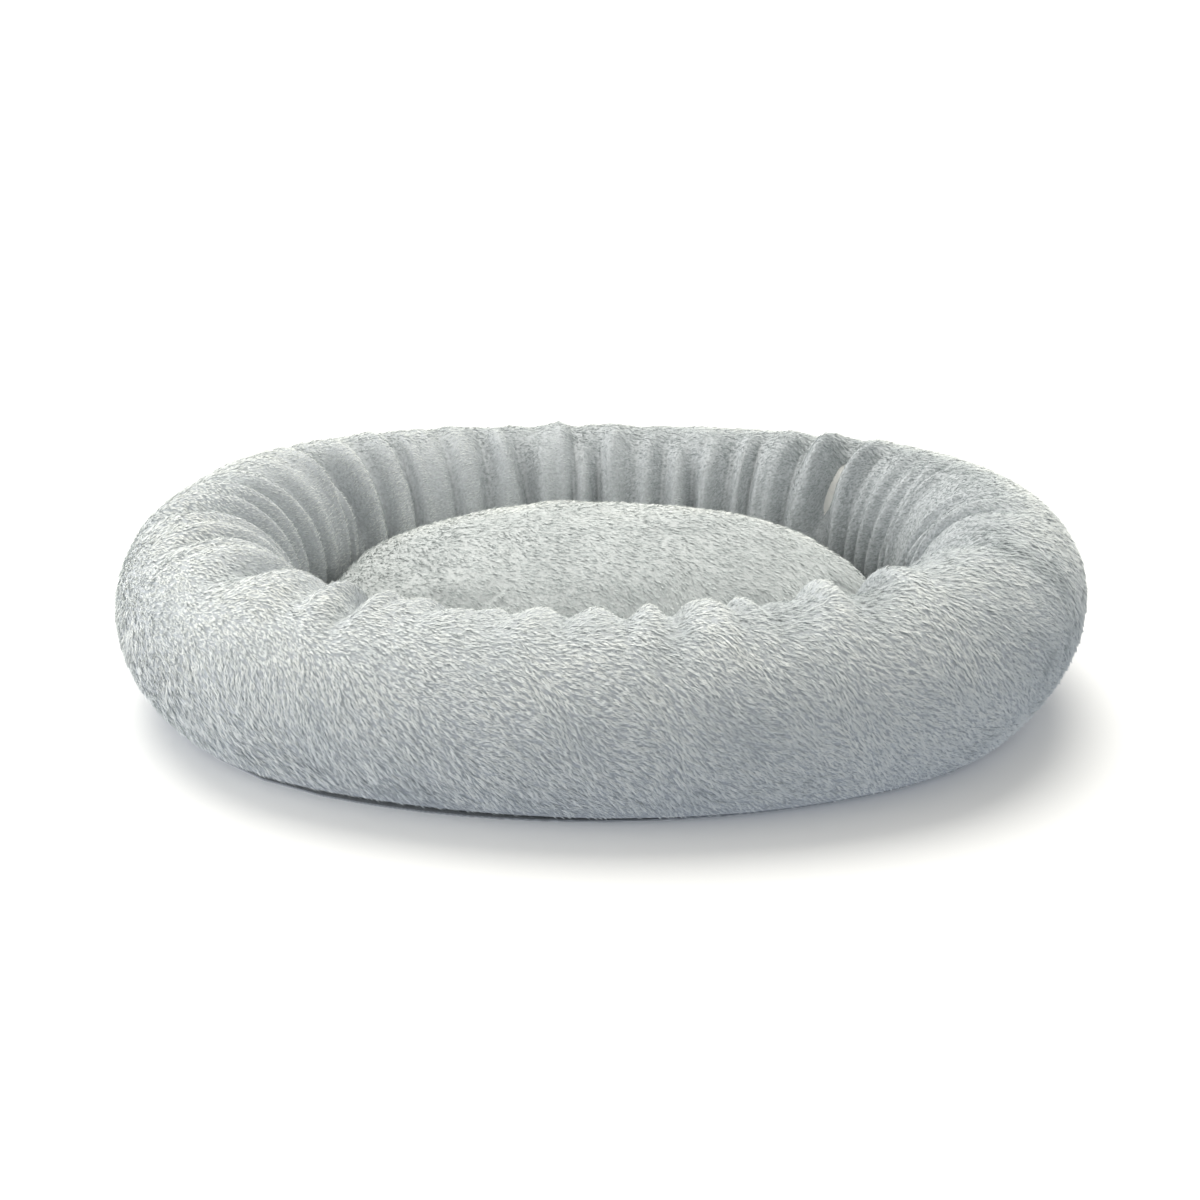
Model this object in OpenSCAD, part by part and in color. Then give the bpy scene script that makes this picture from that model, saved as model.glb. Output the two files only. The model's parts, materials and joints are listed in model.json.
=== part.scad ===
// Oval donut bed for a pet: a stuffed plush ring on a sewn base, with a domed
// loose cushion that lifts out of the middle. X runs along the bed, Y across it,
// and Z up from the floor. The zip of the ring is on the back, +Y, low down.

/* [Ring] */
// Overall length of the bed
bed_length = 950; // [850:1:1200]
// Overall width of the bed
bed_width = 740; // [620:1:820]
// Radius of the stuffed tube
tube_r = 96; // [80:1:105]
// How deep the floor flattens the tube
tube_flat = 8; // [6:1:14]
// How much tighter than half circles the rounded ends are
end_tuck = 30; // [20:1:80]

/* [Fabric] */
// Thickness of the plush, backing and pressed pile together
plush_t = 4; // [3:0.5:6]
// Thickness of the inner bags that hold the fibre
liner_t = 0.8; // [0.5:0.1:1.2]
// Thickness of the woven base
base_t = 1.2; // [0.8:0.1:2]
// Room between one layer and the next
layer_gap = 0.3; // [0.2:0.05:0.6]

/* [Underside] */
// Width of the binding round the edge of the base
binding_w = 12; // [8:1:20]
// Thickness of the binding
binding_t = 0.8; // [0.6:0.1:1.4]
// Radius of one grip dot
dot_r = 3; // [2:0.5:4]
// Spacing of the grip dots
dot_pitch = 40; // [30:1:60]
// Width of the tape that holds the pleats
gather_w = 10; // [6:1:14]
// Thickness of that tape
gather_t = 1.2; // [0.8:0.1:1.6]

/* [Cushion] */
// Clearance between the cushion and the ring
cushion_gap = 1; // [0.5:0.5:4]
// Height of the crown of the cushion above the floor
crown_z = 152; // [125:1:160]
// Height at which the cushion is widest
widest_z = 66; // [55:1:75]
// Height of the seam between the two panels
seam_z = 32; // [28:1:40]
// How far the seam sits in from the widest line
seam_inset = 8; // [7:1:12]
// How far the underside rounds in from the seam
sole_round = 22; // [14:1:30]
// Thickness of the underside panel
sole_t = 2.5; // [2:0.5:4]

/* [Zips] */
// Length of the zip in the ring
ring_zip_length = 400; // [250:1:440]
// Length of the zip in the cushion
cushion_zip_length = 280; // [200:1:330]
// Angle of the ring zip below the tube's waist
ring_zip_drop = 25; // [15:1:35]
// Width of one half of the zip tape
tape_w = 6; // [5:0.5:10]
// Thickness of the tape
tape_t = 0.6; // [0.4:0.1:0.8]
// Width of one coil
coil_w = 2.8; // [2.4:0.1:3.4]
// Height of one coil
coil_t = 1.6; // [1.2:0.1:2]
// Slit between the two coils
coil_slit = 1.6; // [1.4:0.1:2]
// Length of the stops along the zip
stop_l = 3; // [2:0.5:4]
// Length of the slider
slider_l = 11; // [9:0.5:13]
// Width of the slider
slider_w = 9; // [7.5:0.5:11]
// Thickness of the slider's plates
plate_t = 1.2; // [0.8:0.1:1.4]
// Length of the pull of the ring zip
ring_pull_l = 24; // [18:1:30]
// Length of the pull of the cushion zip
cushion_pull_l = 16; // [14:1:20]

/* [Label] */
// Width of the blank care label, along the edge
label_w = 26; // [20:1:40]
// Length of the label out from the edge
label_l = 36; // [25:1:40]
// Thickness of the folded label
label_t = 0.5; // [0.3:0.1:0.6]
// Distance from the zip's end to the label
label_gap = 20; // [10:1:30]

/* [Hidden] */
$fn = 96;
eps = 0.5;                                 // how far a cutter runs past a face
join_gap = 0.02;                           // between the four lengths of the tube

// The plan: four arcs, two for the sides and two for the ends, that meet on a
// common normal. Every line of the ring is an offset of the tube's middle line.
half_l = bed_length / 2 - tube_r;
half_w = bed_width / 2 - tube_r;
end_r = half_w - end_tuck;
end_c = half_l - end_r;                    // centre of an end arc, along X
side_r = (end_c * end_c + half_w * half_w - end_r * end_r) / (2 * (half_w - end_r));
side_c = side_r - half_w;                  // centre of a side arc, across Y
side_half = atan2(end_c, side_c);          // half the angle of a side arc
end_half = 90 - side_half;

// Heights and layers of the ring
tube_z = tube_r - tube_flat;
base_top = binding_t + base_t;
liner_r = tube_r - plush_t - layer_gap;
fill_r = liner_r - liner_t - layer_gap;
liner_z = base_top + layer_gap;
fill_z = liner_z + liner_t + layer_gap;
foot = half_chord(tube_r, base_top);       // where the cover meets the base
gather_s = half_chord(tube_r, base_top + gather_t);
dot_edge = foot - binding_w - 2 * dot_r;

// The cushion, with its outline measured in from the ring's waist
cushion_s = -tube_r - cushion_gap;
sole_z = base_top + layer_gap;
bag_d = plush_t + layer_gap;
wad_d = bag_d + liner_t + layer_gap;
bag_sole = sole_t + layer_gap;
wad_sole = bag_sole + liner_t + layer_gap;
side_steps = 16;
end_steps = 10;
crown_step = 10;                           // degrees between the crown's levels
sole_step = 30;

// The zips. Across a zip, c is up the fabric and n is out of it, from the
// middle of the tape.
slider_gap = 0.3;
tape_edge = coil_slit / 2 + tape_w;
coil_top = tape_t / 2 + coil_t;
plate_n = coil_top + slider_gap;
lower_n = -tape_t / 2 - slider_gap - plate_t;
post_w = coil_slit - 2 * 0.2;
post_l = 2.5;
stop_t = coil_t + slider_gap + 0.6;        // stands in the slider's way
band_h = tape_edge + 1;                    // the zip's straight band, each way
arch_l = 8;
arch_w = 2.4;
arch_leg = 1.6;
arch_window = 1.7;
arch_t = 1;
pull_bar_r = 0.6;
pull_t = 1;
pull_rail = 1.4;                           // width of each side of the pull's eye
pull_eye = arch_l / 2 + 1;
pull_w = arch_w + 2 * 0.4 + 2 * pull_rail;
pull_n = plate_n + plate_t + arch_window / 2;
ring_zip_r = tube_r - plush_t - lower_n;
cushion_zip_s = cushion_s - seam_inset - plush_t - lower_n;
end_room = stop_l + slider_l / 2 + eps;    // a slider's centre to the zip's end
ring_zip_s = ring_zip_r * cos(ring_zip_drop);
ring_zip_half = arc_angle(ring_zip_length / 2, ring_zip_s);
ring_slider_at = 90 - ring_zip_half + arc_angle(end_room, ring_zip_s);
cushion_zip_half = arc_angle(cushion_zip_length / 2, cushion_zip_s);
cushion_slider_at = 90 - cushion_zip_half + arc_angle(end_room, cushion_zip_s);

label_at = 90 + ring_zip_half + arc_angle(label_gap, foot);

plush = [0.80, 0.81, 0.80];
lining = [0.93, 0.93, 0.91];
wadding = [0.97, 0.97, 0.96];
oxford = [0.45, 0.47, 0.49];
grip = [0.22, 0.23, 0.25];
braid = [0.62, 0.64, 0.65];
nickel = [0.75, 0.75, 0.74];

// Half the width of a circle centred at the tube's height, at height z
function half_chord(r, z) = sqrt(r * r - (tube_z - z) * (tube_z - z));

// Angle of a length on the side arc, s out from the tube's middle
function arc_angle(l, s) = l / (side_r + s) * 180 / PI;

// ---- the oval

// Sweeps a section round the bed, in four lengths with a hair's gap at each
// join: x is out from the tube's middle, y is up
module round_oval() {
    side_turn = side_half - arc_angle(join_gap, 0);
    end_turn = end_half - join_gap / end_r * 180 / PI;
    for (half = [0, 180]) rotate([0, 0, half]) {
        back_sweep(90 - side_turn, 90 + side_turn) children();
        translate([end_c, 0, 0]) rotate([0, 0, -end_turn])
            rotate_extrude(angle = 2 * end_turn)
                translate([end_r, 0]) children();
    }
}

// Sweeps a section along the back, between two angles on its arc
module back_sweep(from, to) {
    translate([0, -side_c, 0]) rotate([0, 0, from])
        rotate_extrude(angle = to - from)
            translate([side_r, 0]) children();
}

// A flat band of the oval, between two distances out from the tube's middle
module oval_band(inner, outer, z, t) {
    translate([0, 0, z]) linear_extrude(t) difference() {
        polygon(oval(outer));
        polygon(oval(inner));
    }
}

// The tube's round section, cut flat at height z
module tube_section(r, z) {
    difference() {
        translate([0, tube_z]) circle(r);
        translate([-2 * tube_r, z - 2 * tube_r]) square([4 * tube_r, 2 * tube_r]);
    }
}

// Points of the oval, s out from the tube's middle
function oval_side(s, turn) = [for (i = [0 : side_steps - 1])
    let (a = turn + 90 - side_half + 2 * side_half * i / side_steps)
    [(side_r + s) * cos(a), (side_r + s) * sin(a) - side_c * cos(turn)]];
function oval_end(s, turn) = [for (i = [0 : end_steps - 1])
    let (a = turn - end_half + 2 * end_half * i / end_steps)
    [(end_r + s) * cos(a) + end_c * cos(turn), (end_r + s) * sin(a)]];
function oval(s) = concat(oval_end(s, 0), oval_side(s, 0), oval_end(s, 180),
    oval_side(s, 180));

// Is the point inside the oval whose edge lies s out from the tube's middle?
function in_oval(x, y, s) = atan2(abs(x), abs(y) + side_c) < side_half
    ? norm([x, abs(y) + side_c]) < side_r + s
    : norm([abs(x) - end_c, y]) < end_r + s;

// ---- the cushion's shape

// One level of the cushion: the outline d in from its widest, shrunk k times
function level(d, k, z) = [for (p = oval(cushion_s - d)) [p.x * k, p.y * k, z]];

// Levels from just under the crown down to the seam, d inside the surface.
// Next to the seam the side stands straight, to hold the zip.
function crown_levels(d) = concat(
    [for (u = [90 - crown_step : -crown_step : 0])
        level(d, cos(u), widest_z + (crown_z - d - widest_z) * sin(u))],
    [for (t = [1 / 3, 2 / 3, 1]) level(d + seam_inset * t * t, 1,
        widest_z - (widest_z - seam_z - band_h) * t)],
    [level(d + seam_inset, 1, seam_z)]);

// Levels from the seam down to the underside
function sole_levels(d, rise) = concat(
    [level(d + seam_inset, 1, seam_z)],
    [for (w = [0 : sole_step : 90])
        level(d + seam_inset + sole_round * (1 - cos(w)), 1,
            seam_z - band_h - (seam_z - band_h - sole_z - rise) * sin(w))]);

function turned(levels) = [for (i = [len(levels) - 1 : -1 : 0]) levels[i]];
function but_first(levels) = [for (i = [1 : len(levels) - 1]) levels[i]];

// Skins a list of levels, closed by a point at each end
module loft(levels, first_z, last_z) {
    n = len(levels[0]);
    last = len(levels) - 1;
    first_pole = len(levels) * n;
    polyhedron(
        points = concat([for (l = levels) each l], [[0, 0, first_z], [0, 0, last_z]]),
        faces = concat(
            [for (j = [0 : n - 1]) [first_pole, (j + 1) % n, j]],
            [for (i = [0 : last - 1], j = [0 : n - 1])
                [i * n + j, i * n + (j + 1) % n, (i + 1) * n + (j + 1) % n]],
            [for (i = [0 : last - 1], j = [0 : n - 1])
                [i * n + j, (i + 1) * n + (j + 1) % n, (i + 1) * n + j]],
            [for (j = [0 : n - 1])
                [first_pole + 1, last * n + j, last * n + (j + 1) % n]]));
}

// The whole cushion's form, d inside its sides and rise above its underside
module cushion_form(d, rise) {
    loft(concat(crown_levels(d), but_first(sole_levels(d, rise))),
        crown_z - d, sole_z + rise);
}

// ---- zips, shared by the ring and the cushion

// Sweeps a section, given in n and c, along the ring's zip
module ring_zip_sweep(from, to) {
    back_sweep(from, to) translate([0, tube_z]) rotate(-ring_zip_drop)
        translate([ring_zip_r, 0]) children();
}

module cushion_zip_sweep(from, to) {
    back_sweep(from, to) translate([cushion_zip_s, seam_z]) children();
}

module whole_ring_zip(trim = 0) {
    half = ring_zip_half - arc_angle(trim, ring_zip_s);
    ring_zip_sweep(90 - half, 90 + half) children();
}

module whole_cushion_zip(trim = 0) {
    half = cushion_zip_half - arc_angle(trim, cushion_zip_s);
    cushion_zip_sweep(90 - half, 90 + half) children();
}

// Places a solid at the slider's rest, x out of the fabric, y along the zip
// and z across it
module on_ring_zip() {
    translate([0, -side_c, tube_z]) rotate([0, 0, ring_slider_at])
        translate([side_r, 0, 0]) rotate([0, ring_zip_drop, 0])
            translate([ring_zip_r, 0, 0]) children();
}

module on_cushion_zip() {
    translate([0, -side_c, seam_z]) rotate([0, 0, cushion_slider_at])
        translate([side_r + cushion_zip_s, 0, 0]) children();
}

// The opening that a zip fills, out through the plush
module zip_slot() {
    translate([lower_n - eps, -tape_edge])
        square([plush_t + 4 * eps, 2 * tape_edge]);
}

module tape_half() {
    translate([-tape_t / 2, coil_slit / 2]) square([tape_t, tape_w]);
}

module coil_half() {
    translate([tape_t / 2, coil_slit / 2]) square([coil_t, coil_w]);
}

module top_stop() {
    translate([tape_t / 2, coil_slit / 2]) square([stop_t, coil_w]);
}

module bottom_stop() {
    translate([tape_t / 2, -coil_slit / 2 - coil_w])
        square([stop_t, coil_slit + 2 * coil_w]);
}

// The slider: two plates joined by the post that parts the coils, and the arch
module slider() {
    color(nickel) {
        for (n = [lower_n, plate_n]) translate([n, -slider_l / 2, -slider_w / 2])
            cube([plate_t, slider_l, slider_w]);
        translate([lower_n, slider_l / 2 - post_l, -post_w / 2])
            cube([plate_n - lower_n + plate_t, post_l, post_w]);
        for (y = [-arch_l / 2, arch_l / 2 - arch_leg])
            translate([plate_n, y, -arch_w / 2])
                cube([plate_t + arch_window + arch_t, arch_leg, arch_w]);
        translate([plate_n + plate_t + arch_window, -arch_l / 2, -arch_w / 2])
            cube([arch_t, arch_l, arch_w]);
    }
}

// The pull, lying along -y, with the bar of its eye under the slider's arch
module pull(length) {
    color(nickel) translate([pull_n, 0, 0]) {
        difference() {
            union() {
                translate([-pull_t / 2, -length + pull_w / 2, -pull_w / 2])
                    cube([pull_t, length - pull_w / 2, pull_w]);
                translate([-pull_t / 2, -length + pull_w / 2, 0]) rotate([0, 90, 0])
                    cylinder(r = pull_w / 2, h = pull_t);
            }
            translate([-pull_t, -pull_eye, -pull_w / 2 + pull_rail])
                cube([2 * pull_t, 2 * pull_eye, pull_w - 2 * pull_rail]);
        }
        translate([0, 0, -pull_w / 2]) cylinder(r = pull_bar_r, h = pull_w);
    }
}

// ---- the ring

// The plush cover, open underneath and slit at the back for the zip
module ring_cover() {
    color(plush) difference() {
        round_oval() difference() {
            tube_section(tube_r, base_top);
            translate([0, tube_z]) circle(tube_r - plush_t);
        }
        whole_ring_zip() zip_slot();
    }
}

// The closed bag inside the cover
module ring_liner() {
    color(lining) round_oval() difference() {
        tube_section(liner_r, liner_z);
        tube_section(liner_r - liner_t, liner_z + liner_t);
    }
}

module ring_fill() {
    color(wadding) round_oval() tube_section(fill_r, fill_z);
}

// The woven base under ring and cushion
module base_panel() {
    color(oxford) translate([0, 0, binding_t]) linear_extrude(base_t)
        polygon(oval(foot));
}

// Flat binding that covers the base's raw edge and stands on the floor
module seam_binding() {
    color(braid) oval_band(foot - binding_w, foot, 0, binding_t);
}

// Rubber dots in staggered rows, as thick as the binding
module grip_dots() {
    row = dot_pitch * sin(60);
    rows = ceil(bed_width / 2 / row);
    cols = ceil(bed_length / 2 / dot_pitch);
    color(grip) for (j = [-rows : rows], i = [-cols : cols]) {
        x = (i + (abs(j) % 2) / 2) * dot_pitch;
        y = j * row;
        if (in_oval(x, y, dot_edge)) translate([x, y, 0])
            cylinder(r = dot_r, h = binding_t);
    }
}

// Stay tape on the base that holds the pleats of the ring's inner side
module gather_tape() {
    color(braid) oval_band(-gather_s - gather_w, -gather_s, base_top, gather_t);
}

// A blank folded label sewn into the outer edge at the back
module care_label() {
    color(lining) back_sweep(label_at, label_at + arc_angle(label_w, foot))
        translate([foot, binding_t]) square([label_l, label_t]);
}

module ring_zip_tape_upper() { color(braid) whole_ring_zip() tape_half(); }

module ring_zip_tape_lower() {
    color(braid) whole_ring_zip() mirror([0, 1]) tape_half();
}

module ring_zip_coil_upper() { color(braid) whole_ring_zip(stop_l) coil_half(); }

module ring_zip_coil_lower() {
    color(braid) whole_ring_zip(stop_l) mirror([0, 1]) coil_half();
}

// Two top stops at the closed end, one on each coil, and one bottom stop
module ring_zip_stops() {
    turn = arc_angle(stop_l, ring_zip_s);
    start = 90 - ring_zip_half;
    color(nickel) {
        for (side = [0, 1]) ring_zip_sweep(start, start + turn)
            mirror([0, side]) top_stop();
        ring_zip_sweep(180 - start - turn, 180 - start) bottom_stop();
    }
}

module ring_zip_slider() { on_ring_zip() slider(); }

module ring_zip_pull() { on_ring_zip() pull(ring_pull_l); }

// ---- the cushion

// The plush top, from the crown round the widest line down to the seam
module cushion_top_panel() {
    color(plush) difference() {
        loft(concat(crown_levels(0), turned(crown_levels(plush_t))),
            crown_z, crown_z - plush_t);
        whole_cushion_zip() zip_slot();
    }
}

// The underside panel, a shallow bowl up to the seam
module cushion_bottom_panel() {
    color(oxford) difference() {
        loft(concat(turned(sole_levels(sole_t, sole_t)), sole_levels(0, 0)),
            sole_z + sole_t, sole_z);
        whole_cushion_zip() zip_slot();
    }
}

// The closed bag inside the cushion's two panels
module cushion_liner() {
    color(lining) difference() {
        cushion_form(bag_d, bag_sole);
        cushion_form(bag_d + liner_t, bag_sole + liner_t);
    }
}

module cushion_fill() { color(wadding) cushion_form(wad_d, wad_sole); }

module cushion_zip_tape_upper() { color(braid) whole_cushion_zip() tape_half(); }

module cushion_zip_tape_lower() {
    color(braid) whole_cushion_zip() mirror([0, 1]) tape_half();
}

module cushion_zip_coil_upper() {
    color(braid) whole_cushion_zip(stop_l) coil_half();
}

module cushion_zip_coil_lower() {
    color(braid) whole_cushion_zip(stop_l) mirror([0, 1]) coil_half();
}

module cushion_zip_stops() {
    turn = arc_angle(stop_l, cushion_zip_s);
    start = 90 - cushion_zip_half;
    color(nickel) {
        for (side = [0, 1]) cushion_zip_sweep(start, start + turn)
            mirror([0, side]) top_stop();
        cushion_zip_sweep(180 - start - turn, 180 - start) bottom_stop();
    }
}

module cushion_zip_slider() { on_cushion_zip() slider(); }

module cushion_zip_pull() { on_cushion_zip() pull(cushion_pull_l); }

ring_cover();
ring_liner();
ring_fill();
base_panel();
seam_binding();
grip_dots();
gather_tape();
care_label();
ring_zip_tape_upper();
ring_zip_tape_lower();
ring_zip_coil_upper();
ring_zip_coil_lower();
ring_zip_stops();
ring_zip_slider();
ring_zip_pull();
cushion_top_panel();
cushion_bottom_panel();
cushion_liner();
cushion_fill();
cushion_zip_tape_upper();
cushion_zip_tape_lower();
cushion_zip_coil_upper();
cushion_zip_coil_lower();
cushion_zip_stops();
cushion_zip_slider();
cushion_zip_pull();
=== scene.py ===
"""Oval donut bed for a pet: the plush ring, the loose domed cushion, the two
zips and the sewn underside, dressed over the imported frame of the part."""

import json
import math

import bmesh
import bpy
import numpy as np
from bpy.props import (
    FloatProperty, FloatVectorProperty, IntProperty, PointerProperty)
from mathutils import Matrix, Vector

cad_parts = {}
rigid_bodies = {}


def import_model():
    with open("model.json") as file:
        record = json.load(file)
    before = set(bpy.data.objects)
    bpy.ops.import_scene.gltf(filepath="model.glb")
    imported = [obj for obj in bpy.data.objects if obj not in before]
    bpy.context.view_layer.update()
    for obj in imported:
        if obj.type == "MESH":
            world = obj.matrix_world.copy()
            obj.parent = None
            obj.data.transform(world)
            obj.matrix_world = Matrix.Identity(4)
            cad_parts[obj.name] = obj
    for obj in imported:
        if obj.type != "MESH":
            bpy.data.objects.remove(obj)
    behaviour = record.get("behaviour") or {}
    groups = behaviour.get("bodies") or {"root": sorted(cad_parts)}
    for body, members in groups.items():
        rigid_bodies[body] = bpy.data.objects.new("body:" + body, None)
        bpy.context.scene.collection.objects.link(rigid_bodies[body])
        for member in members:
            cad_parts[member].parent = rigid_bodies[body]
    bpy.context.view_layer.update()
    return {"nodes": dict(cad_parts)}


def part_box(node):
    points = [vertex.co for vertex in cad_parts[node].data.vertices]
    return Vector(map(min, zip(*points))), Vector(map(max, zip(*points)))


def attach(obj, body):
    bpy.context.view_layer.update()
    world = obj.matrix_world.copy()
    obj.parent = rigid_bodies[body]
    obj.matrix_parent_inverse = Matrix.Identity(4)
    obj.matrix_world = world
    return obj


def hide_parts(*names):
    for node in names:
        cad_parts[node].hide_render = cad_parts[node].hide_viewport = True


bl_info = {
    "name": "Donut Pet Bed",
    "version": (1, 0, 0),
    "blender": (4, 5, 0),
    "location": "View3D > Sidebar > Pet Bed",
    "description": "Builds the plush ring, the cushion, the zips and the underside",
    "category": "Add Mesh",
}

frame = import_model()
COVER_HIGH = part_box("ring_cover")[1]

PILE_MAP = "OFBake"
PRESSED_ABOVE = 0.191
CLOTH_PRESSURE, CLOTH_FRAMES, CLOTH_CAP = 4.0, 20, 0.012
RING_PILE = [f"ring_pile_{side}" for side in (
    "right_back", "back_right", "back_left", "left_back",
    "left_front", "front_left", "front_right", "right_front")]
CUSHION_PILE = ["cushion_pile_left", "cushion_pile_right"]


# ---- sizes and colours that a user would change

class PlanSizes(bpy.types.PropertyGroup):
    """The oval that every piece of the bed follows"""
    length: FloatProperty(
        name="Length", description="Overall length of the bed",
        default=round(2 * COVER_HIGH.x, 2), unit="LENGTH")
    width: FloatProperty(
        name="Width", description="Overall width of the bed",
        default=round(2 * COVER_HIGH.y, 2), unit="LENGTH")
    tube: FloatProperty(
        name="Tube radius", description="Radius of the stuffed tube",
        default=0.096, unit="LENGTH")
    flat: FloatProperty(
        name="Flat", description="How deep the floor flattens the tube",
        default=0.008, unit="LENGTH")
    tuck: FloatProperty(
        name="End tuck", description="How much tighter than half circles the ends are",
        default=0.030, unit="LENGTH")
    base_top: FloatProperty(
        name="Base top", description="Height of the top of the sewn base",
        default=0.002, unit="LENGTH")


class SlumpSizes(bpy.types.PropertyGroup):
    """How the stuffed ring settles away from a true tube"""
    rise: FloatProperty(name="Rise", description="Height gained all round", default=0.010)
    rise_right: FloatProperty(
        name="Rise, right end", description="Height gained at the right end", default=0.008)
    rise_back: FloatProperty(
        name="Rise, back", description="Height gained at the back", default=-0.001)
    rise_ends: FloatProperty(
        name="Rise, both ends", description="Height gained at the ends, lost at the sides",
        default=0.035)
    rise_corners: FloatProperty(
        name="Rise, corners", description="Height gained at back left and front right",
        default=-0.035)
    slim: FloatProperty(
        name="Slim", description="Width lost by the tube all round", default=0.057)
    slim_right: FloatProperty(
        name="Slim, right end", description="Width lost at the right end", default=0.010)
    slim_front: FloatProperty(
        name="Slim, front", description="Width lost at the front", default=0.019)
    foot: FloatProperty(
        name="Foot", description="How far the weight pushes the outer foot out",
        default=0.016, unit="LENGTH")
    foot_height: FloatProperty(
        name="Foot height", description="Height below which the foot spreads",
        default=0.036, unit="LENGTH")
    lean: FloatProperty(
        name="Lean", description="How far the top leans out at the right end",
        default=0.011, unit="LENGTH")
    drift: FloatProperty(
        name="Drift", description="How far the plan leaves the oval in three lobes",
        default=-0.0045, unit="LENGTH")


def hair_properties(length, width, spacing, lift, tousle, root, tip):
    """The properties of one plush's hair, with these defaults"""
    return {
        "length": FloatProperty(
            name="Hair length", description="Length of a hair", default=length,
            unit="LENGTH"),
        "hair_width": FloatProperty(
            name="Hair width", description="Width of one lock's hairs", default=width,
            unit="LENGTH"),
        "lock_width": FloatProperty(
            name="Lock width", description="How far apart a lock's roots stand",
            default=0.0028, unit="LENGTH"),
        "hairs": IntProperty(name="Hairs", description="Hairs in one lock", default=4),
        "spacing": FloatProperty(
            name="Spacing", description="Least distance between locks", default=spacing,
            unit="LENGTH"),
        "lift": FloatProperty(
            name="Lift", description="How high a hair stands for its length",
            default=lift),
        "tousle": FloatProperty(
            name="Tousle", description="How far a lock turns off the lie",
            default=tousle, subtype="ANGLE"),
        "root": FloatVectorProperty(
            name="Root", description="Colour at the roots", default=root,
            subtype="COLOR"),
        "tip": FloatVectorProperty(
            name="Tip", description="Colour at the tips", default=tip, subtype="COLOR"),
    }


class RingPile(bpy.types.PropertyGroup):
    """The ring's long hair"""
    __annotations__ = hair_properties(
        0.0090, 0.00064, 0.0021, 0.18, 0.28, (0.68, 0.71, 0.72), (0.89, 0.90, 0.88))


class CushionPile(bpy.types.PropertyGroup):
    """The cushion's shorter hair"""
    __annotations__ = hair_properties(
        0.0072, 0.00058, 0.0021, 0.15, 0.24, (0.74, 0.76, 0.75), (0.89, 0.90, 0.88))


def zip_properties(length, height, out, drop):
    """The properties of a zip on the back of the bed, with these defaults"""
    return {
        "length": FloatProperty(
            name="Length", description="Length of the zip", default=length,
            unit="LENGTH"),
        "height": FloatProperty(
            name="Height", description="Height of the point the zip is set out from",
            default=height, unit="LENGTH"),
        "out": FloatProperty(
            name="Out", description="Distance out from that point to the tape",
            default=out, unit="LENGTH"),
        "drop": FloatProperty(
            name="Drop", description="Angle of the zip below the waist", default=drop,
            subtype="ANGLE"),
    }


class RingZip(bpy.types.PropertyGroup):
    """The zip low on the back of the ring"""
    __annotations__ = zip_properties(0.400, 0.088, 0.0938, math.radians(25))


class CushionZip(bpy.types.PropertyGroup):
    """The zip in the back edge of the cushion"""
    __annotations__ = zip_properties(0.280, 0.032, -0.1072, 0)


class StageLook(bpy.types.PropertyGroup):
    """The light of the studio"""
    key: FloatProperty(name="Key", description="Strength of the key light", default=3.2)
    fill: FloatProperty(
        name="Fill", description="Power of the low light from the left", default=18,
        unit="POWER")
    softness: FloatProperty(
        name="Softness", description="How wide the key light is", default=1.0,
        subtype="ANGLE")
    ambient: FloatProperty(
        name="Ambient", description="Strength of the light from all round", default=0.76)
    high_light: FloatVectorProperty(
        name="Light from above", description="Colour of the light from above",
        default=(1.0, 0.985, 0.935), subtype="COLOR")
    low_light: FloatVectorProperty(
        name="Light from below", description="Colour of the light off the floor",
        default=(0.61, 0.66, 0.75), subtype="COLOR")


# ---- the plan: four arcs that meet on a common normal

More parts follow.
